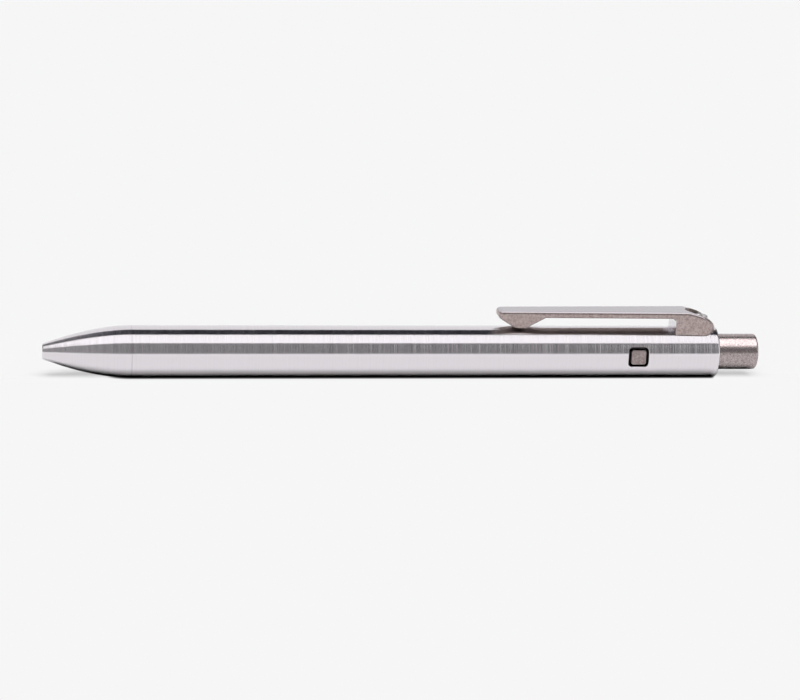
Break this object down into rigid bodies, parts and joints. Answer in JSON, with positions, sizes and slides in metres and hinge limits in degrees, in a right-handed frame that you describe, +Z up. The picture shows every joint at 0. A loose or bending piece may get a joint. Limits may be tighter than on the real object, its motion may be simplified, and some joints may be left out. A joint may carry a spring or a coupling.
{
  "type": "side click pen",
  "caption": "Machined metal click pen with a bullet nose, a one-piece clip, a rear plunger and a square release button in its side.",
  "frame": {"origin": "under the middle of the pen's length, on the surface that it lies on", "axes": "+X along the pen from the nose to the plunger, +Z up through the clip, -Y out through the release button"},
  "size_m": [0.146, 0.0106, 0.0142],
  "materials": {
    "turned_steel": "fine turned, bright, lines round the axis",
    "tumbled_steel": "tumbled, mottled satin",
    "screw_steel": "bright stainless socket screw",
    "hardened_steel": "ground",
    "blackened_steel": "turned, black oxide",
    "spring_steel": "drawn wire",
    "mechanism_brass": "turned",
    "point_metal": "nickel silver, turned",
    "seal_rubber": "moulded",
    "refill_clear": "extruded, clear",
    "refill_white": "moulded",
    "gel_ink": "black gel",
    "follower_grease": "clear amber grease"
  },
  "bodies": {
    "barrel": {"barrel": "turned_steel", "clip": "tumbled_steel", "clip_screw": "screw_steel", "latch_block": "blackened_steel", "lock_ring": "mechanism_brass", "latch_spring": "spring_steel"},
    "nose_seal": {"nose_o_ring": "seal_rubber"},
    "nose": {"nose_cone": "turned_steel", "return_spring": "spring_steel"},
    "plunger": {"plunger_head": "tumbled_steel", "plunger_stem": "hardened_steel", "refill_cup": "mechanism_brass"},
    "refill": {"refill_ball": "hardened_steel", "refill_point": "point_metal", "refill_tip_holder": "refill_white", "refill_tube": "refill_clear", "refill_ink": "gel_ink", "refill_follower": "follower_grease", "refill_end_plug": "refill_white"},
    "latch": {"latch_slide": "hardened_steel", "release_button": "tumbled_steel"}
  },
  "joints": [
    {"name": "plunger_press", "type": "slide", "parent": "barrel", "child": "plunger", "axis": [-1, 0, 0], "range_m": [0, 0.0055], "stiffness_N_per_m": 450, "springref_m": -0.003},
    {"name": "refill_travel", "type": "slide", "parent": "barrel", "child": "refill", "axis": [-1, 0, 0], "range_m": [0, 0.0055], "deforming": ["return_spring"]},
    {"name": "button_press", "type": "slide", "parent": "barrel", "child": "latch", "axis": [0, 1, 0], "range_m": [0, 0.0005], "stiffness_N_per_m": 600, "springref_m": -0.0007, "deforming": ["latch_spring"]},
    {"name": "nose_advance", "type": "slide", "parent": "barrel", "child": "nose_seal", "axis": [-1, 0, 0], "range_m": [0, 0.0045]},
    {"name": "nose_unscrew", "type": "hinge", "parent": "nose_seal", "child": "nose", "pos_m": [-0.055, 0, 0.00529], "axis": [-1, 0, 0], "range_deg": [0, 2160]}
  ],
  "couplings": [
    {"joint": "refill_travel", "follows": "plunger_press", "ratio": 1},
    {"joint": "nose_unscrew", "follows": "nose_advance", "rad_per_m": 8377.6}
  ]
}
